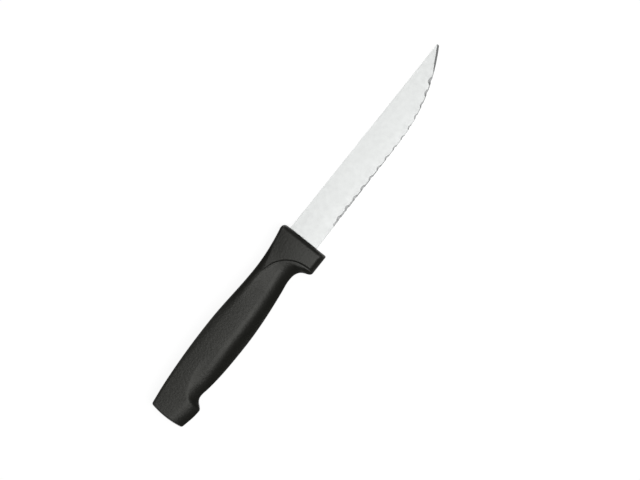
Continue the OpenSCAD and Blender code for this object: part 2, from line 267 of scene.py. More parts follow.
class NodeBench:
    """Adds and wires nodes in one tree."""

    def __init__(self, tree: NodeTree) -> None:
        """Empties the tree and keeps it."""
        self.tree = tree
        tree.nodes.clear()

    def _feed(self, socket: NodeSocket, value: object) -> None:
        """Links an output, or a node's first one, to an input, or sets a plain value on it."""
        if isinstance(value, Node):
            value = value.outputs[0]
        if isinstance(value, NodeSocket):
            self.tree.links.new(value, socket)
        else:
            socket.default_value = value

    def add(self, kind: str, settings: dict | None = None, **inputs: object) -> Node:
        """Adds a node.

        Args:
            kind: Blender's name for the node's type.
            settings: Properties of the node itself.
            inputs: What feeds its inputs, each named with _ for a space, or as in_N by place.

        Returns:
            The new node.
        """
        node = self.tree.nodes.new(kind)
        for name, value in (settings or {}).items():
            setattr(node, name, value)
        for name, value in inputs.items():
            by_place = name.startswith("in_")
            self._feed(node.inputs[int(name[3:]) if by_place else name.replace("_", " ")], value)
        return node

    def math(self, operation: str, *values: object, clamp: bool = False) -> NodeSocket:
        """Adds a sum of up to three values and returns its result."""
        node = self.add("ShaderNodeMath", {"operation": operation, "use_clamp": clamp})
        for socket, value in zip(node.inputs, values):
            self._feed(socket, value)
        return node.outputs[0]

    def vector(self, operation: str, a: object, b: object) -> NodeSocket:
        """Adds a sum of two vectors and returns its result."""
        return self.add("ShaderNodeVectorMath", {"operation": operation}, in_0=a, in_1=b).outputs[0]

    def scaled(self, vector: object, by: object) -> NodeSocket:
        """Adds a vector times a value and returns its result."""
        return self.add("ShaderNodeVectorMath", {"operation": "SCALE"}, in_0=vector, Scale=by).outputs[0]

    def shared(self, a: object, b: object, share: float) -> NodeSocket:
        """Adds a mix of two values, with a share of the second, and returns its result."""
        return self.math("ADD", self.math("MULTIPLY", a, 1 - share), self.math("MULTIPLY", b, share))

    def blend(self, factor: object, a: object, b: object) -> NodeSocket:
        """Adds a mix of two colours and returns its result."""
        node = self.add("ShaderNodeMix", {"data_type": "RGBA"})
        inputs = {socket.identifier: socket for socket in node.inputs}
        for name, value in (("Factor_Float", factor), ("A_Color", a), ("B_Color", b)):
            self._feed(inputs[name], value)
        return next(s for s in node.outputs if s.identifier == "Result_Color")

    def ranged(self, value: object, low: float, high: float) -> NodeSocket:
        """Adds a change of a value from 0 to 1 into a range and returns its result."""
        return self.add("ShaderNodeMapRange", Value=value, To_Min=low, To_Max=high).outputs[0]

    def effect(self, tree: NodeTree, output: str, **inputs: object) -> NodeSocket:
        """Places an effect's group with its own values and returns one of its results."""
        return self.add("ShaderNodeGroup", {"node_tree": tree}, **inputs).outputs[output]


def new_group(kind: str, name: str, inputs: dict[str, str], outputs: dict[str, str]) -> NodeBench:
    """Starts a node group.

    Args:
        kind: Shader or Geometry.
        name: Name of the group.
        inputs: Its inputs, with the type of each.
        outputs: Its results, with the type of each.

    Returns:
        A bench for the group.
    """
    tree = bpy.data.node_groups.new(name, f"{kind}NodeTree")
    for way, sockets in (("INPUT", inputs), ("OUTPUT", outputs)):
        for socket, value_type in sockets.items():
            tree.interface.new_socket(socket, in_out=way, socket_type=f"NodeSocket{value_type}")
    return NodeBench(tree)


@cache
def pitted_grain() -> NodeTree:
    """Builds fine pitted grain of a size in metres. Height is from 0 to about 1, Mask marks the tops."""
    pit_share = 0.6
    bench = new_group(
        "Shader", "grain", {"Place": "Vector", "Size": "Float"}, {"Height": "Float", "Mask": "Float"}
    )
    entry = bench.add("NodeGroupInput").outputs
    scale = bench.math("DIVIDE", 1.0, entry["Size"])
    fine = bench.add("ShaderNodeTexNoise", Vector=entry["Place"], Scale=scale, Detail=3.0, Roughness=0.6)
    pits = bench.add(
        "ShaderNodeTexVoronoi", {"feature": "SMOOTH_F1"}, Vector=entry["Place"], Scale=scale, Smoothness=0.6
    )
    height = bench.math("MULTIPLY_ADD", pits.outputs["Distance"], pit_share, fine.outputs["Fac"])
    mask = bench.add("ShaderNodeMapRange", Value=height, From_Min=0.55, From_Max=0.95)
    bench.add("NodeGroupOutput", Height=height, Mask=mask)
    return bench.tree


@cache
def soft_clouds() -> NodeTree:
    """Builds soft uneven patches, from 0 to 1, of a size given in metres."""
    middle, stretch = 0.5, 2.4
    bench = new_group(
        "Shader", "clouds", {"Place": "Vector", "Size": "Float", "Contrast": "Float"}, {"Mask": "Float"}
    )
    entry = bench.add("NodeGroupInput").outputs
    noise = bench.add(
        "ShaderNodeTexNoise", Vector=entry["Place"], Scale=bench.math("DIVIDE", 1.0, entry["Size"]),
        Detail=4.0, Roughness=0.55,
    )
    spread = bench.math("MULTIPLY", bench.math("SUBTRACT", noise.outputs["Fac"], middle), stretch)
    mask = bench.math("MULTIPLY_ADD", spread, entry["Contrast"], middle, clamp=True)
    bench.add("NodeGroupOutput", Mask=mask)
    return bench.tree


@cache
def fine_strokes() -> NodeTree:
    """Builds fine straight lines across the blade, as a belt or a wheel leaves them, from 0 to 1."""
    bench = new_group(
        "Shader", "strokes", {"Place": "Vector", "Width": "Float", "Length": "Float"}, {"Height": "Float"}
    )
    entry = bench.add("NodeGroupInput").outputs
    parts = bench.add("ShaderNodeSeparateXYZ", Vector=entry["Place"]).outputs
    sizes = {"X": "Width", "Y": "Length", "Z": "Length"}
    scaled = {axis: bench.math("DIVIDE", parts[axis], entry[size]) for axis, size in sizes.items()}
    place = bench.add("ShaderNodeCombineXYZ", **scaled)
    noise = bench.add("ShaderNodeTexNoise", Vector=place, Scale=1.0, Detail=3.0, Roughness=0.65)
    bench.add("NodeGroupOutput", Height=noise.outputs["Fac"])
    return bench.tree


def new_material(name: str) -> tuple[Material, NodeBench]:
    """Returns a new material and a bench for its nodes."""
    material = bpy.data.materials.new(name)
    material.use_nodes = True
    return material, NodeBench(material.node_tree)


@dataclass(frozen=True)
class Finish:
    """What every finish has: a name and a bench with an empty material."""

    name: str

    def _bench(self) -> tuple[Material, NodeBench, NodeSocket]:
        """Returns a new material, its bench and the socket of the object's own coordinates."""
        material, bench = new_material(self.name)
        return material, bench, bench.add("ShaderNodeTexCoord").outputs["Object"]


@dataclass(frozen=True)
class SteelFinish(Finish):
    """Stainless steel with fine strokes across the blade."""

    # Colours of its paler and duller patches, their size, and the least and greatest roughness
    pale: Colour
    dull: Colour
    patch: float
    smooth: float
    coarse: float
    # Width and depth of a stroke
    stroke: float
    depth: float

    def material(self) -> Material:
        """Builds the material."""
        material, bench, place = self._bench()
        stroke_l, stroke_share = self.stroke * 60, 0.25
        patches = bench.effect(soft_clouds(), "Mask", Place=place, Size=self.patch, Contrast=1.0)
        strokes = bench.effect(fine_strokes(), "Height", Place=place, Width=self.stroke, Length=stroke_l)
        patchy_mask = bench.shared(patches, strokes, stroke_share)
        colour = bench.blend(patchy_mask, (*self.pale, 1.0), (*self.dull, 1.0))
        bump = bench.add("ShaderNodeBump", Strength=1.0, Distance=self.depth, Height=strokes)
        shader = bench.add(
            "ShaderNodeBsdfPrincipled", Base_Color=colour, Metallic=1.0,
            Roughness=bench.ranged(patchy_mask, self.smooth, self.coarse), Normal=bump,
        )
        bench.add("ShaderNodeOutputMaterial", Surface=shader)
        return material


@dataclass(frozen=True)
class MouldedPlastic(Finish):
    """Black plastic from a finely eroded mould, a little polished where a hand rubs it, its proud edges
    paler by a painted highlight.
    """

    # Colours of the plastic, of its paler patches, and of its proud edges, where it is handled most and a
    # highlight is painted
    base: Colour
    faded: Colour
    rubbed_and_highlit: Colour
    # Size and depth of the mould's grain, and height of the broad ripples under it
    grain: float
    depth: float
    ripple: float

    def material(self) -> Material:
        """Builds the material."""
        material, bench, place = self._bench()
        smooth, coarse, polish = 0.33, 0.39, 0.06
        speck_share, top_share, least_rub = 0.4, 0.35, 0.6
        tops = bench.effect(pitted_grain(), "Mask", Place=place, Size=self.grain)
        grain = tops.node.outputs["Height"]
        patches = bench.effect(soft_clouds(), "Mask", Place=place, Size=0.007, Contrast=0.9)
        specks = bench.effect(soft_clouds(), "Mask", Place=place, Size=0.0011, Contrast=1.2)
        # Proud edges: partly the polish of handling, partly a painted highlight along the crests
        rub_and_highlight = bench.add("ShaderNodeAttribute", {"attribute_name": Handle.RUB_AND_HIGHLIGHT}).outputs["Fac"]
        mottled = bench.shared(patches, specks, speck_share)
        patchy_mask = bench.math("MULTIPLY", rub_and_highlight, bench.ranged(specks, least_rub, 1.0))
        colour = bench.blend(mottled, (*self.base, 1.0), (*self.faded, 1.0))
        colour = bench.blend(bench.math("MULTIPLY", tops, top_share), colour, (*self.base, 1.0))
        # Proud edges turn pale: a painted highlight, besides the polish of handling
        colour = bench.blend(patchy_mask, colour, (*self.rubbed_and_highlit, 1.0))
        ripple = bench.math("MULTIPLY", specks, self.ripple)
        height = bench.math("ADD", bench.math("MULTIPLY", grain, self.depth), ripple)
        bump = bench.add("ShaderNodeBump", Strength=1.0, Distance=1.0, Height=height)
        shader = bench.add(
            "ShaderNodeBsdfPrincipled", Base_Color=colour, Normal=bump,
            Roughness=bench.math("MULTIPLY_ADD", patchy_mask, -polish, bench.ranged(mottled, smooth, coarse)),
            IOR=1.49, Specular_IOR_Level=0.74, Specular_Tint=(1.0, 1.0, 0.95, 1.0),
        )
        bench.add("ShaderNodeOutputMaterial", Surface=shader)
        return material


@dataclass
class Blade:
    """The stamped and ground blade with its root and tang.

    Its own zero is where the spine meets the handle's front face, at mid thickness. X runs to the
    point, Y to the spine.
    """

    origin: Vector
    length: float = 114.3
    heel_w: float = 16.4
    belly_w: float = 15.6
    belly_r: float = 95.0
    point_r: float = 0.75
    # Thickness of the spine at the handle, of the edge at the heel and of the spine at the point
    sheet_t: float = 1.2
    heel_t: float = 0.41
    point_t: float = 0.73
    # How far the eased edges of the spine reach into its back and down its sides
    spine_ease: float = 0.1
    spine_inset: float = 0.04
    # Bevel: its widths, the shares of the edge where they change, its least edge and its start's length
    plain_heel: float = 14.0
    burr_w: float = 0.22
    heel_bevel_w: float = 0.9
    bevel_w: float = 0.35
    point_bevel_w: float = 1.0
    bevel_shares: tuple[float, ...] = (0.4, 0.86, 0.94)
    edge_land: float = 0.1
    bevel_start: float = 0.8
    # Scallops, and the wheels that cut them, tilted by degrees and longer than wide
    scallop_lead: float = 4.6
    scallop_pitch: float = 6.2
    scallop_tail: float = 14.5
    scallop_bite: float = 0.24
    wheel_r: float = 8.0
    wheel_tilt: float = 15.5
    wheel_extra: float = 6.0
    # Root, tang and the holes in it, hidden in the handle
    root_l: float = 5.0
    mouth_l: float = 1.0
    tang_l: float = 74.0
    tang_w: float = 9.6
    tang_drop: float = 3.0
    root_r: float = 1.6
    tang_hole_d: float = 5.0
    tang_holes: int = 3
    tang_hole_s: float = 19.0
    tang_tail: float = 11.0
    # How far a cutting tool runs past the steel
    overrun: float = 1.0
    THICKNESS = "steel_t"

    def __post_init__(self) -> None:
        """Works out the belly's circle, the edge line and the bevel's width from the sizes."""
        self.nose = (self.length - self.point_r, -self.point_r)
        self.belly_y = self.belly_r - self.belly_w
        rise = self.belly_y - self.nose[1]
        self.belly_x = self.nose[0] - math.sqrt((self.belly_r - self.point_r) ** 2 - rise**2)
        self.nose_turn = math.atan2(self.nose[0] - self.belly_x, rise)
        reach = math.hypot(self.belly_x, self.belly_y + self.heel_w)
        centre_turn = math.atan2(self.belly_y + self.heel_w, self.belly_x)
        self.straight_turn = centre_turn - math.asin(self.belly_r / reach)
        self.straight_l = math.sqrt(reach**2 - self.belly_r**2)
        self.edge_l = self.straight_l + self.belly_r * (self.nose_turn - self.straight_turn)
        self.mouth_end = (self.mouth_l + self.root_l) / 2
        narrow, widening, wide = (mix(self.plain_heel, self.edge_l, share) for share in self.bevel_shares)
        self.bevel_line = level(
            (self.plain_heel, self.heel_bevel_w), (narrow, self.bevel_w), (widening, self.bevel_w),
            (wide, self.point_bevel_w), (self.edge_l, self.point_bevel_w),
        )

    def turn_at(self, s: float) -> float:
        """Returns the edge's direction, in radians from the spine's, at a length s along it."""
        return self.straight_turn + max(s - self.straight_l, 0.0) / self.belly_r

    def edge_at(self, s: float) -> Point:
        """Returns the place of the edge at a length s along it from the handle."""
        if s < self.straight_l:
            return s * math.cos(self.straight_turn), s * math.sin(self.straight_turn) - self.heel_w
        turn = self.turn_at(s)
        return self.belly_x + self.belly_r * math.sin(turn), self.belly_y - self.belly_r * math.cos(turn)

    def thickness_at(self, p: Point) -> float:
        """Returns the thickness of the ground steel at a place."""
        to_edge = (self.sheet_t - self.heel_t) / self.heel_w
        to_point = (self.sheet_t - self.point_t) / self.length
        return self.sheet_t + p[1] * to_edge - p[0] * to_point

    def _ground_body(self) -> Object:
        """Builds the tapered blade before its edge is ground, with an eased spine."""
        belly_step, nose_step = 1.5, 0.12
        belly = [self.edge_at(s) for s in spaced(self.straight_l, self.edge_l, belly_step)]
        nose = [
            (self.nose[0] + self.point_r * math.sin(a), self.nose[1] - self.point_r * math.cos(a))
            for a in spaced(self.nose_turn, math.pi, nose_step)[1:]
        ]
        sharp = [(-self.mouth_end, -self.heel_w), (0.0, -self.heel_w), *belly]
        eased = [*nose, (-self.mouth_end, 0.0)]
        flat, back = (self.spine_inset, 0.0), (0.0, self.spine_ease)
        rings = []
        for (inset, drop), side in ((flat, -1), (back, -1), (back, 1), (flat, 1)):
            ring = [Vector((*p, side * self.thickness_at(p) / 2)) for p in sharp]
            for i, p in enumerate(eased):
                share = ease(i / len(nose))
                q = (p[0] - inset * share * (i < len(nose) - 1), p[1] - inset * share)
                ring.append(Vector((*q, side * (self.thickness_at(p) / 2 - drop * share))))
            rings.append(ring)
        return solid_from("ground_blade", lofted(rings), self.origin)

    def tang_plate(self, gap: float) -> Object:
        """Builds the root and the tang, grown all round by a gap.

        Args:
            gap: How far every face stands outside the steel.

        Returns:
            The plate with its holes, whose plastic is thinner by the same gap.
        """
        root_step, end_step, hole_step = 0.2, 0.1, 0.13
        back, front = -self.root_l - gap, -self.mouth_l + gap
        top, low = -self.tang_drop + gap, -self.tang_drop - self.tang_w - gap
        mid, end_r = -self.tang_drop - self.tang_w / 2, self.tang_w / 2 + gap
        end_x = self.tang_w / 2 - self.tang_l
        outline = [(front, -self.heel_w - gap), (front, gap), (back, gap)]
        for a in spaced(0.0, math.pi / 2, root_step):
            outline.append((back - self.root_r * (1 - math.cos(a)), top + self.root_r * (1 - math.sin(a))))
        for a in spaced(0.0, math.pi, end_step):
            outline.append((end_x - end_r * math.sin(a), mid + end_r * math.cos(a)))
        for a in spaced(math.pi / 2, 0.0, root_step):
            outline.append((back - self.root_r * (1 - math.cos(a)), low - self.root_r * (1 - math.sin(a))))
        outline.append((back, -self.heel_w - gap))
        pitch = (self.tang_l - self.tang_tail - self.tang_hole_s) / (self.tang_holes - 1)
        hole_r = self.tang_hole_d / 2 - gap
        holes = [
            [(-self.tang_hole_s - i * pitch + hole_r * math.cos(a), mid + hole_r * math.sin(a))
             for a in spaced(0.0, 2 * math.pi, hole_step)[1:]]
            for i in range(self.tang_holes)
        ]
        return solid_from("tang", prism(outline, self.sheet_t / 2 + gap, holes), self.origin)

    def mouth_plug(self, gap: float) -> Object:
        """Builds the ground part of the blade at the handle's mouth, grown all round by a gap."""
        corners = [
            (-self.mouth_end, gap), (-self.mouth_end, -self.heel_w - gap),
            (self.overrun, -self.heel_w - gap), (self.overrun, gap),
        ]
        rings = [
            [Vector((*p, side * (self.thickness_at(p) / 2 + gap))) for p in corners] for side in (-1, 1)
        ]
        return solid_from("mouth_plug", lofted(rings), self.origin)

    def _bevel_width(self, s: float) -> float:
        """Returns the bevel's width along the edge: a burr's width as far as the plain heel goes."""
        full = along(self.bevel_line, min(max(s, self.plain_heel), self.edge_l))
        return mix(self.burr_w, full, ease((s - self.plain_heel) / self.bevel_start + 0.5))

    def _bevel_tool(self, finish: Material) -> Object:
        """Builds what grinding the bevel takes off, as a wedge that follows the edge."""
        start, full = self.plain_heel - self.bevel_start, self.plain_heel + self.bevel_start
        before, between, after = 2.0, 0.1, 1.0
        places = spaced(-self.mouth_end, start, before)
        places += spaced(start, full, between)[1:]
        places += spaced(full, self.edge_l + 2 * self.overrun, after)[1:]
        rings = []
        for s in places:
            p, turn = self.edge_at(s), self.turn_at(s)
            t = self.thickness_at(p)
            slope = (t - self.edge_land) / self._bevel_width(s)
            if s < full:
                slope = min(slope, t / self.burr_w)
            low, top = -t / 2 + self.edge_land, t / 2 + self.overrun
            back = -self.overrun
            section = [(back, low + back * slope), ((top - low) / slope, top), (back, top)]
            rings.append([
                Vector((p[0] - q * math.sin(turn), p[1] + q * math.cos(turn), z)) for q, z in section
            ])
        tool = solid_from("bevel_tool", lofted(rings), self.origin)
        tool.data.materials.append(finish)
        return tool

    def _edge_line(self) -> Object:
        """Draws the edge as a line whose points carry the steel's thickness."""
        places = [self.edge_at(s) for s in spaced(0.0, self.edge_l, step=0.5)]
        mesh = bpy.data.meshes.new("edge_line")
        points = [(Vector((*p, 0.0)) + self.origin) * MM for p in places]
        mesh.from_pydata(points, [(i, i + 1) for i in range(len(points) - 1)], [])
        layer = mesh.attributes.new(self.THICKNESS, "FLOAT", "POINT")
        layer.data.foreach_set("value", [self.thickness_at(p) * MM for p in places])
        return new_object("grinding_wheels", mesh)

    def _wheel_tree(self) -> NodeTree:
        """Builds the geometry nodes that set a grinding wheel at every scallop of an edge line."""
        sizes = ("First", "Last", "Wheel radius", "Bite", "Wheel tilt")
        inputs = {"Edge": "Geometry", **dict.fromkeys(sizes, "Float"), "Count": "Int", "Finish": "Material"}
        bench = new_group("Geometry", "scallop_wheels", inputs, {"Wheels": "Geometry"})
        entry = bench.add("NodeGroupInput").outputs
        curve = bench.add("GeometryNodeMeshToCurve", in_0=entry["Edge"])
        # Inputs 4 and 5 are the lengths at which the run starts and ends
        run = bench.add(
            "GeometryNodeTrimCurve", {"mode": "LENGTH"}, in_0=curve, in_4=entry["First"], in_5=entry["Last"]
        )
        spots = bench.add("GeometryNodeResampleCurve", Curve=run, Count=entry["Count"])
        points = bench.add("GeometryNodeCurveToPoints", {"mode": "EVALUATED"}, in_0=spots)
        up = (0.0, 0.0, 1.0)
        inward = bench.vector("CROSS_PRODUCT", up, points.outputs["Tangent"])
        steel = bench.add("GeometryNodeInputNamedAttribute", {"data_type": "FLOAT"}, Name=self.THICKNESS)
        half_t = bench.math("MULTIPLY", steel.outputs["Attribute"], 0.5)
        sine, cosine = bench.math("SINE", entry["Wheel tilt"]), bench.math("COSINE", entry["Wheel tilt"])
        radius = entry["Wheel radius"]
        aside = bench.math("SUBTRACT", entry["Bite"], bench.math("MULTIPLY", radius, sine))
        above = bench.math("SUBTRACT", bench.math("MULTIPLY", radius, cosine), half_t)
        offset = bench.vector("ADD", bench.scaled(inward, aside), bench.scaled(up, above))
        placed = bench.add("GeometryNodeSetPosition", Geometry=points.outputs["Points"], Offset=offset)
        axis = bench.vector("ADD", bench.scaled(inward, cosine), bench.scaled(up, sine))
        aim = bench.add("FunctionNodeAlignRotationToVector", {"axis": "Z"}, Vector=axis)
        depth = bench.math("ADD", bench.math("MULTIPLY", radius, 2.0), self.wheel_extra * MM)
        wheel = bench.add("GeometryNodeMeshCylinder", Vertices=144, Radius=radius, Depth=depth)
        wheels = bench.add("GeometryNodeInstanceOnPoints", Points=placed, Instance=wheel, Rotation=aim)
        real = bench.add("GeometryNodeRealizeInstances", Geometry=wheels)
        dressed = bench.add("GeometryNodeSetMaterial", Geometry=real, Material=entry["Finish"])
        bench.add("NodeGroupOutput", Wheels=dressed)
        return bench.tree

    def _wheel_tool(self, finish: Material) -> Object:
        """Builds the row of grinding wheels that hollow the scallops."""
        first = self.plain_heel + self.scallop_lead
        count = 1 + math.floor((self.edge_l - first - self.scallop_tail) / self.scallop_pitch)
        values = {
            "First": first * MM,
            "Last": (first + (count - 1) * self.scallop_pitch) * MM,
            "Wheel radius": self.wheel_r * MM,
            "Bite": self.scallop_bite * MM,
            "Wheel tilt": math.radians(self.wheel_tilt),
            "Count": count,
            "Finish": finish,
        }
        wheels = self._edge_line()
        mod = wheels.modifiers.new("wheels", "NODES")
        mod.node_group = self._wheel_tree()
        for item in mod.node_group.interface.items_tree:
            if item.name in values:
                mod[item.identifier] = values[item.name]
        settled(wheels)
        return wheels

    def build(self, flat: Finish, bevel: Finish, hollow: Finish) -> Object:
        """Builds the blade: blank, tang, bevel and scallops, dressed with its three finishes."""
        blade = self._ground_body()
        blade.data.materials.append(flat.material())
        tang = self.tang_plate(0.0)
        tang.data.materials.append(blade.data.materials[0])
        worked(blade, tang, Join.FUSE)
        worked(blade, self._bevel_tool(bevel.material()), Join.CUT)
        worked(blade, self._wheel_tool(hollow.material()), Join.CUT, crossing=True)
        shaded(blade, sharp_from=7.5)
        return blade


@dataclass
class Handle:
    """The moulded handle. Places are measured back from its front face, heights from the spine line."""

    origin: Vector
    length: float = 109.2
    # Height of the back above the spine line, how far its end lies below, and its slopes at both ends
    collar_rise: float = 4.5
    neck_rise: float = 1.15
    back_rise: float = 2.5
    butt_fall: float = 0.8
    back_slopes: Pair = (-0.24, -0.14)
    # Depth of the belly below the spine line, and its slope at the butt
    chin_drop: float = 22.4
    neck_drop: float = 15.5
    palm_drop: float = 19.0
    notch_drop: float = 17.1
    beak_drop: float = 21.0
    butt_drop: float = 19.3
    butt_slope: float = 0.2
    # Turns of the belly between two of these: shares of the way along and down, and slope
    chin_turn: Knot = (0.22, 0.33, 2.8)
    chin_foot: Knot = (0.48, 0.85, 0.6)
    throat_turn: Knot = (0.165, 0.24, -0.14)
    finger_turn: Knot = (0.85, 0.66, 0.135)
    beak_turn: Knot = (0.62, 0.47, -1.15)
    # Places behind the front face
    chin_s: float = 10.3
    neck_s: float = 20.6
    nape_s: float = 26.4
    palm_s: float = 59.5
    notch_s: float = 90.5
    beak_s: float = 97.0
    # Shares of the way between such places, where roundings, thickness, lean and crease change
    collar_share: float = 0.9
    throat_share: float = 0.2
    full_share: float = 0.35
    lean_share: float = 0.6
    crease_shares: Pair = (0.28, 0.93)
    beak_share: float = 0.08
    # Thickness, and how far the sides fall from a crown in their middle and lean in to the belly
    collar_t: float = 11.2
    neck_t: float = 12.3
    grip_t: float = 13.0
    butt_t: float = 11.9
    crown: float = 0.36
    collar_crown: float = 0.504
    butt_crown: float = 0.18
    neck_crown: float = 0.15
    neck_lean: float = 0.8
    # Rounded edges at both ends, and the butt's bulge
    front_r: float = 2.5
    brow_r: float = 3.1
    chin_r: float = 0.8
    butt_r: float = 0.9
    butt_bulge: float = 0.9
    # Roundings of back and belly, as reach and share of the half thickness, and their eased rim
    collar_edge: Pair = (1.5, 0.14)
    nape_round: Pair = (3.4, 0.1)
    back_round: Pair = (4.0, 0.025)
    butt_round: Pair = (1.2, 0.01)
    chin_edge: Pair = (3.3, 0.3)
    throat_round: Pair = (7.4, 0.2)
    neck_round: Pair = (7.2, 0.46)
    palm_round: Pair = (8.6, 0.57)
    notch_round: Pair = (7.5, 0.38)
    beak_round: Pair = (8.2, 0.38)
    rim_r: float = 0.4
    # Step behind the collar
    step_back_w: float = 1.8
    step_chin_w: float = 1.3
    step_lag: float = 0.3
    # Middle and half axes of the ellipse that the crease follows, and the scoop inside it
    crease_s: float = 80.0
    crease_drop: float = 20.5
    crease_l: float = 18.5
    crease_h: float = 13.5
    scoop: float = 0.35
    scoop_reach: float = 0.35
    # Height and half width of the ridge where the mould parts, and the gap round the steel
    seam: float = 0.03
    seam_w: float = 0.14
    mould_gap: float = 0.04
    RUB_AND_HIGHLIGHT = "rub_and_highlight"

    def __post_init__(self) -> None:
        """Works out the outline, the thickness and the roundings from the sizes."""
        chin, neck = (self.chin_s, -self.chin_drop), (self.neck_s, -self.neck_drop)
        palm, notch = (self.palm_s, -self.palm_drop), (self.notch_s, -self.notch_drop)
        beak = (self.beak_s, -self.beak_drop)

        def between(a: Point, b: Point, turn: Knot) -> Knot:
            """Returns the knot of a turn between two points."""
            return mix(a[0], b[0], turn[0]), mix(a[1], b[1], turn[1]), turn[2]

        def rounded(*edges: tuple[float, Pair]) -> list[Knots]:
            """Returns the reach and the share of the roundings along an edge."""
            return [level(*((s, edge[i]) for s, edge in edges)) for i in range(2)]

        self.top_line = [
            (0.0, self.collar_rise, self.back_slopes[0]),
            *level((self.nape_s, self.neck_rise), (self.palm_s, self.back_rise)),
            (self.length, -self.butt_fall, self.back_slopes[1]),
        ]
        self.low_line = [
            *level((0.0, -self.chin_drop), chin), between(chin, neck, self.chin_turn),
            between(chin, neck, self.chin_foot), *level(neck), between(neck, palm, self.throat_turn),
            *level(palm), between(palm, notch, self.finger_turn), *level(notch),
            between(notch, beak, self.beak_turn), *level(beak),
            (self.length, -self.butt_drop, self.butt_slope),
        ]
        collar_end = self.collar_share * self.chin_s
        throat_s = mix(self.chin_s, self.neck_s, self.throat_share)
        full_s = mix(self.nape_s, self.palm_s, self.full_share)
        lean_end = mix(self.nape_s, self.palm_s, self.lean_share)
        beak_end = mix(self.beak_s, self.length, self.beak_share)
        self.back_reach, self.back_share = rounded(
            (0.0, self.collar_edge), (self.chin_s, self.collar_edge), (self.nape_s, self.nape_round),
            (self.palm_s, self.back_round), (self.notch_s, self.butt_round), (self.length, self.butt_round),
        )
        self.belly_reach, self.belly_share = rounded(
            (0.0, self.chin_edge), (collar_end, self.chin_edge), (throat_s, self.throat_round),
            (self.neck_s, self.neck_round), (self.palm_s, self.palm_round), (self.notch_s, self.notch_round),
            (beak_end, self.beak_round), (self.length, self.beak_round),
        )
        self.side_line = level(
            (self.chin_s, self.neck_t), (self.nape_s, self.neck_t), (full_s, self.grip_t),
            (self.palm_s, self.grip_t), (self.length, self.butt_t),
        )
        self.collar_line = level(
            (self.chin_s, self.collar_t), (self.neck_s, self.collar_t), (self.nape_s, self.neck_t),
            (self.length, self.neck_t),
        )
        self.crown_line = level(
            (0.0, self.collar_crown), (self.chin_s, self.collar_crown), (self.neck_s, self.neck_crown),
            (self.nape_s, self.neck_crown), (self.palm_s, self.crown), (self.length, self.butt_crown),
        )
        self.lean_line = level(
            (0.0, 0.0), (self.chin_s, 0.0), (self.neck_s, self.neck_lean), (self.nape_s, self.neck_lean),
            (lean_end, 0.0), (self.length, 0.0),
        )
        self.crease_on, self.crease_full = (mix(palm[0], notch[0], share) for share in self.crease_shares)

    def _scooped(self, s: float, y: float) -> float:
        """Returns how deep a place lies in the scoop between the crease and the notch."""
        inside = 1 - math.hypot(
            max(s - self.crease_s, 0.0) / self.crease_l, max(y + self.crease_drop, 0.0) / self.crease_h
        )
        on = ease((s - self.crease_on) / (self.crease_full - self.crease_on))
        return on * self.scoop * math.sin(math.pi / 2 * clamped(inside / self.scoop_reach))

    def _half_t(self, s: float, y: float, lift: float) -> float:
        """Returns half the thickness at a place, lifted from the collar's to the grip's."""
        behind = min(max(s, self.chin_s), self.length)
        thickness = mix(along(self.collar_line, behind), along(self.side_line, behind), lift)
        return thickness / 2 - self._scooped(s, y)

    def _slump(self, s: float, share: float, lift: float) -> float:
        """Returns how far a side lies below its crown, at a share of the way to the belly."""
        return along(self.crown_line, s) * (2 * share - 1) ** 2 + along(self.lean_line, s) * lift * share

    def _cut_off(self, front_r: float, s: float) -> float:
        """Returns what rounding the front edge and the butt's edge takes off at a place."""
        return max(rounded_off(front_r, s), rounded_off(self.butt_r, self.length - s))

    def _placed(self, s: float, y: float, z: float) -> Vector:
        """Returns a point, moved along so that the butt's end bulges in its middle."""
        middle = -(self.butt_fall + self.butt_drop) / 2
        off = (y - middle) / (middle + self.butt_drop)
        bulge = ease((s - self.beak_s) / (self.length - self.beak_s)) * self.butt_bulge * off**2
        return Vector((s - bulge, y, z))

    def _sections(self) -> list[Section]:
        """Lists the sections from the front face to the butt, close where the shape turns fast."""
        flare_n, step_n, throat_n, grip_n, notch_n, butt_n = 26, 10, 44, 36, 44, 12
        back_share, belly_share, palm_share, beak_share = 0.53, 0.24, 0.8, 0.16
        front_step, rear_step, throat_power = 0.2, 0.25, 1.6

        def square(s: float, lift: float) -> Section:
            """Returns a section square to the knife."""
            return Section(s, s, 0.0, lift)

        def step(share: float, lift: float) -> Section:
            """Returns a section on the step, by its share of the way from the crest to the foot."""
            back = self.nape_s - share * self.step_back_w
            return Section(back, self.chin_s + self.step_lag - share * self.step_chin_w, 1.0, lift)

        def spread(count: int, a: Section, b: Section, power: float = 1.0) -> list[Section]:
            """Spreads sections from one to another, by a power of their share along the belly."""
            return [
                Section(
                    mix(a.back_s, b.back_s, f), mix(a.belly_s, b.belly_s, f**power),
                    mix(a.bend, b.bend, ease(f)), mix(a.lift, b.lift, f),
                )
                for f in shares_of(count)
            ]

        neck_back = mix(self.nape_s, self.palm_s, back_share)
        neck_belly = mix(self.neck_s, self.palm_s, belly_share)
        neck_end = Section(neck_back, neck_belly, 0.0, 1.0)
        palm_end = square(mix(self.palm_s, self.notch_s, palm_share), 1.0)
        beak_end = square(mix(self.beak_s, self.length, beak_share), 1.0)
        butt_start = square(self.length - self.butt_r, 1.0)
        front_turns = spaced(0.0, math.pi / 2, front_step)
        rear_turns = spaced(math.pi / 2, 0.0, rear_step)[1:]
        return (
            [square(self.front_r * (1 - math.cos(a)), 0.0) for a in front_turns]
            + spread(flare_n, square(self.front_r, 0.0), step(1.0, 0.0))
            + [step(1 - rise, ease(rise)) for rise in shares_of(step_n)]
            + spread(throat_n, step(0.0, 1.0), neck_end, throat_power)
            + spread(grip_n, neck_end, palm_end)
            + spread(notch_n, palm_end, beak_end)
            + spread(butt_n, beak_end, butt_start)
            + [square(self.length - self.butt_r * (1 - math.cos(a)), 1.0) for a in rear_turns]
        )

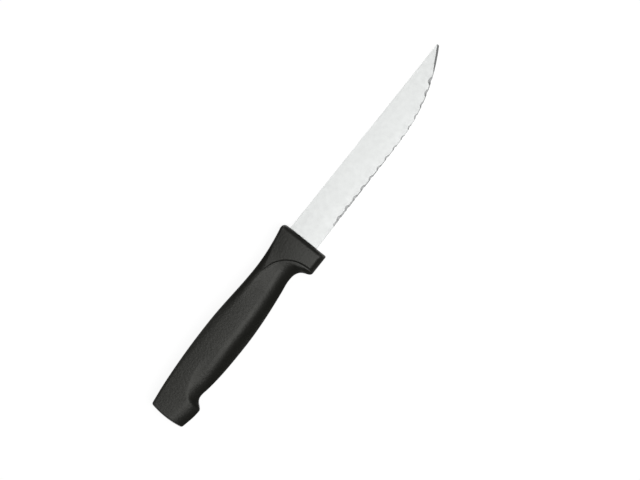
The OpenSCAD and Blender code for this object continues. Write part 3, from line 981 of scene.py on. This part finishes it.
    def _half_section(self, q: Section) -> list[Vector]:
        """Draws the upper half of one section.

        Args:
            q: The section to draw.

        Returns:
            Points from the seam on the back to the seam on the belly, as place, height and half thickness.
        """
        side_n, corner_n, rim_n = 40, 14, 4
        top = along(self.top_line, q.back_s) - self._cut_off(self.brow_r, q.back_s) - self.seam
        low = along(self.low_line, q.belly_s) + self._cut_off(self.chin_r, q.belly_s) + self.seam
        back_reach, back_share = along(self.back_reach, q.back_s), along(self.back_share, q.back_s)
        belly_reach, belly_share = along(self.belly_reach, q.belly_s), along(self.belly_share, q.belly_s)

        def side_point(s: float, y: float, share: float) -> Vector:
            """Returns a point of the side, less what the crown and a share for the rounding take off."""
            fallen = self._slump(s, (top - y) / (top - low), q.lift)
            t = self._half_t(s, y, q.lift) - self._cut_off(self.front_r, s) - fallen
            return self._placed(s, y, t * (1 - share))

        def rounding(s: float, edge: float, reach: float, share: float) -> list[Vector]:
            """Returns the rounding of a long edge, from its eased rim to the side."""
            r = math.copysign(self.rim_r, reach)
            rim_tilt = math.atan(2 * share * side_point(s, edge, 0.0).z / abs(reach))
            start = edge + r * (1 - math.sin(rim_tilt))
            points = []
            for i in range(corner_n + 1):
                t = i / corner_n
                points.append(side_point(s, start + reach * t, share * (1 - t) ** 2))
            foot = points[0].z - self.rim_r * math.cos(rim_tilt)
            eased = []
            for i in range(rim_n):
                tilt = mix(math.pi / 2, rim_tilt, i / rim_n)
                y = edge + r * (1 - math.sin(tilt))
                eased.append(self._placed(s, y, foot + self.rim_r * math.cos(tilt)))
            return eased + points

        def seam_points(s: float, y: float, outward: float) -> list[Vector]:
            """Returns the seam's ridge and its foot at one side."""
            return [self._placed(s, y + outward * self.seam, 0.0), self._placed(s, y, self.seam_w)]

        points = seam_points(q.back_s, top, 1.0) + rounding(q.back_s, top, -back_reach, back_share)
        belly_side = list(reversed(rounding(q.belly_s, low, belly_reach, belly_share)))
        below, above = points[-1].y, belly_side[0].y
        for t in shares_of(side_n)[:-1]:
            a = math.pi / 2 * t
            s = mix(q.back_s, q.belly_s, mix(t, math.sin(a), q.bend))
            points.append(side_point(s, mix(below, above, mix(t, 1 - math.cos(a), q.bend)), 0.0))
        return points + belly_side + list(reversed(seam_points(q.belly_s, low, -1.0)))

    def _moulding(self) -> Object:
        """Builds the outside of the handle."""
        rings = []
        for q in self._sections():
            half = self._half_section(q)
            upper = [Vector((-p.x, p.y, p.z)) for p in half]
            lower = [Vector((p.x, p.y, -p.z)) for p in reversed(upper[1:-1])]
            rings.append(upper + lower)
        return solid_from("moulded_handle", lofted(rings), self.origin)

    def _mark_rub_and_highlight(self, mesh: Mesh) -> None:
        """Marks the proud edges, where a hand rubs the grain and a highlight is painted, on the mesh's
        points.
        """
        flattest, fullest = 0.3 / MM, 0.9 / MM
        level_from, fade, passes = 0.8, 0.15, 2
        bm = bmesh.new()
        bm.from_mesh(mesh)
        bm.verts.ensure_lookup_table()
        bend = [0.0] * len(bm.verts)
        for edge in bm.edges:
            if len(edge.link_faces) == 2:
                turn = edge.calc_face_angle_signed(0.0) * edge.calc_length() / 2
                for vert in edge.verts:
                    bend[vert.index] += turn
        area = [sum(f.calc_area() / len(f.verts) for f in v.link_faces) for v in bm.verts]
        # Only faces lying flat, up or down toward lamp and camera, are marked for the painted highlight
        facing = [ease((abs(v.normal.z) - level_from) / fade) for v in bm.verts]
        rub_and_highlight = [
            f * clamped((b / max(a, TINY) - flattest) / (fullest - flattest))
            for f, b, a in zip(facing, bend, area)
        ]
        for _ in range(passes):
            rub_and_highlight = [
                (rub_and_highlight[v.index] + sum(rub_and_highlight[e.other_vert(v).index] for e in v.link_edges))
                / (1 + len(v.link_edges))
                for v in bm.verts
            ]
        bm.free()
        layer = mesh.attributes.new(self.RUB_AND_HIGHLIGHT, "FLOAT", "POINT")
        layer.data.foreach_set("value", rub_and_highlight)

    def build(self, blade: Blade, finish: Finish) -> Object:
        """Builds the handle with its pocket for the blade, and dresses it."""
        handle = self._moulding()
        worked(handle, blade.tang_plate(self.mould_gap), Join.CUT)
        worked(handle, blade.mouth_plug(self.mould_gap), Join.CUT)
        self._mark_rub_and_highlight(handle.data)
        shaded(handle, sharp_from=40.0, finish=finish.material())
        return handle


@dataclass
class Studio:
    """The floor, the light and the camera that looks straight down on the knife."""

    # Where the picture's middle lies on the knife's mid plane
    middle: Vector
    # Camera: its turn in degrees, a pixel's size on the knife, pixels across, and lens and sensor in mm
    turn: float = -51.38
    pixel: float = 0.0004853
    picture_w: int = 640
    lens: float = 200.0
    sensor: float = 36.0
    # Lamp: its height, the degrees from the vertical to its sides at butt, point, edge and spine, and its
    # brightness and the room's, where 1 is white
    lamp_height: float = 2.6
    lamp_reach: tuple[float, ...] = (-11.5, 13.5, -30.0, 2.7)
    lamp_glow: float = 2.18
    world_glow: float = 0.115
    floor_w: float = 12.0

    def floor(self) -> None:
        """Lays the pale floor, white to the camera and to reflections."""
        half = self.floor_w / 2
        corners = [(-half, -half, 0), (half, -half, 0), (half, half, 0), (-half, half, 0)]
        mesh = bpy.data.meshes.new("floor")
        mesh.from_pydata(corners, [], [(0, 1, 2, 3)])
        floor = new_object("floor", mesh)
        material, bench = new_material("pale_floor")
        path = bench.add("ShaderNodeLightPath").outputs
        seen = bench.math("MAXIMUM", path["Is Camera Ray"], path["Is Glossy Ray"])
        seen = bench.math("MAXIMUM", seen, path["Is Transmission Ray"])
        matt = bench.add("ShaderNodeBsdfDiffuse", Color=(0.5, 0.5, 0.5, 1.0))
        glow = bench.add("ShaderNodeEmission", Color=(1.0, 1.0, 1.0, 1.0), Strength=0.885)
        both = bench.add("ShaderNodeAddShader", in_0=matt, in_1=glow)
        pick = bench.add("ShaderNodeMixShader", in_0=seen, in_1=matt, in_2=both)
        bench.add("ShaderNodeOutputMaterial", Surface=pick)
        mesh.materials.append(material)

    def light(self) -> None:
        """Hangs one large soft lamp over the knife and sets the dim room around it."""
        butt, point, edge, spine = (self.lamp_height * math.tan(math.radians(a)) for a in self.lamp_reach)
        lamp = bpy.data.lights.new("softbox", "AREA")
        lamp.shape = "RECTANGLE"
        lamp.size, lamp.size_y = point - butt, spine - edge
        lamp.energy = self.lamp_glow * math.pi * lamp.size * lamp.size_y
        obj = new_object("softbox", lamp)
        obj.location = ((point + butt) / 2, (spine + edge) / 2, self.lamp_height)
        world = bpy.data.worlds.new("room")
        world.use_nodes = True
        glow = world.node_tree.nodes["Background"]
        glow.inputs["Color"].default_value = (1.0, 1.0, 1.0, 1.0)
        glow.inputs["Strength"].default_value = self.world_glow
        bpy.context.scene.world = world

    def camera(self) -> None:
        """Sets the camera above the knife, as far off as its lens needs."""
        data = bpy.data.cameras.new("camera")
        data.lens, data.sensor_width = self.lens, self.sensor
        distance = self.lens / self.sensor * self.picture_w * self.pixel
        camera = new_object("camera", data)
        camera.location = self.middle + Vector((0.0, 0.0, distance))
        camera.rotation_euler = (0.0, 0.0, math.radians(self.turn))
        bpy.context.scene.camera = camera


SATIN = SteelFinish(
    name="satin_steel", pale=(0.732, 0.745, 0.738), dull=(0.69, 0.703, 0.696), patch=0.0024,
    smooth=0.325, coarse=0.35, stroke=0.00012, depth=0.0000015,
)
GROUND = SteelFinish(
    name="ground_steel", pale=(0.88, 0.89, 0.89), dull=(0.8, 0.81, 0.81), patch=0.0015,
    smooth=0.42, coarse=0.5, stroke=0.00008, depth=0.000003,
)
HOLLOW = SteelFinish(
    name="hollow_ground_steel", pale=(0.86, 0.87, 0.87), dull=(0.76, 0.77, 0.77), patch=0.0015,
    smooth=0.4, coarse=0.48, stroke=0.00008, depth=0.000003,
)
PLASTIC = MouldedPlastic(
    name="moulded_plastic", base=(0.0075, 0.0075, 0.0045), faded=(0.016, 0.016, 0.0115),
    rubbed_and_highlit=(0.21, 0.21, 0.205), grain=0.00028, depth=0.0000045, ripple=0.000025,
)


def main() -> None:
    """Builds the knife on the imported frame, then the studio around it."""
    logging.basicConfig(level=logging.INFO, format="%(name)s: %(message)s")
    bpy.context.scene.view_settings.view_transform = "Standard"

    blade_low, blade_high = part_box("blade")
    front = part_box("handle")[1].x
    origin = Vector((front, blade_high.y, (blade_low.z + blade_high.z) / 2)) / MM

    blade = Blade(origin)
    steel = blade.build(SATIN, GROUND, HOLLOW)
    handle = Handle(origin).build(blade, PLASTIC)
    for piece, node, slot in ((steel, "blade", Slot.STEEL), (handle, "handle", Slot.BLACK_PLASTIC)):
        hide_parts(node)
        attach(piece, "root")
        log.info("%s: %d faces", piece.name, len(piece.data.polygons))

    aside, down = PICTURE_MIDDLE
    studio = Studio(Vector((front + aside, blade_high.y + down, origin.z * MM)))
    studio.floor()
    studio.light()
    studio.camera()


if __name__ == "__main__":
    main()
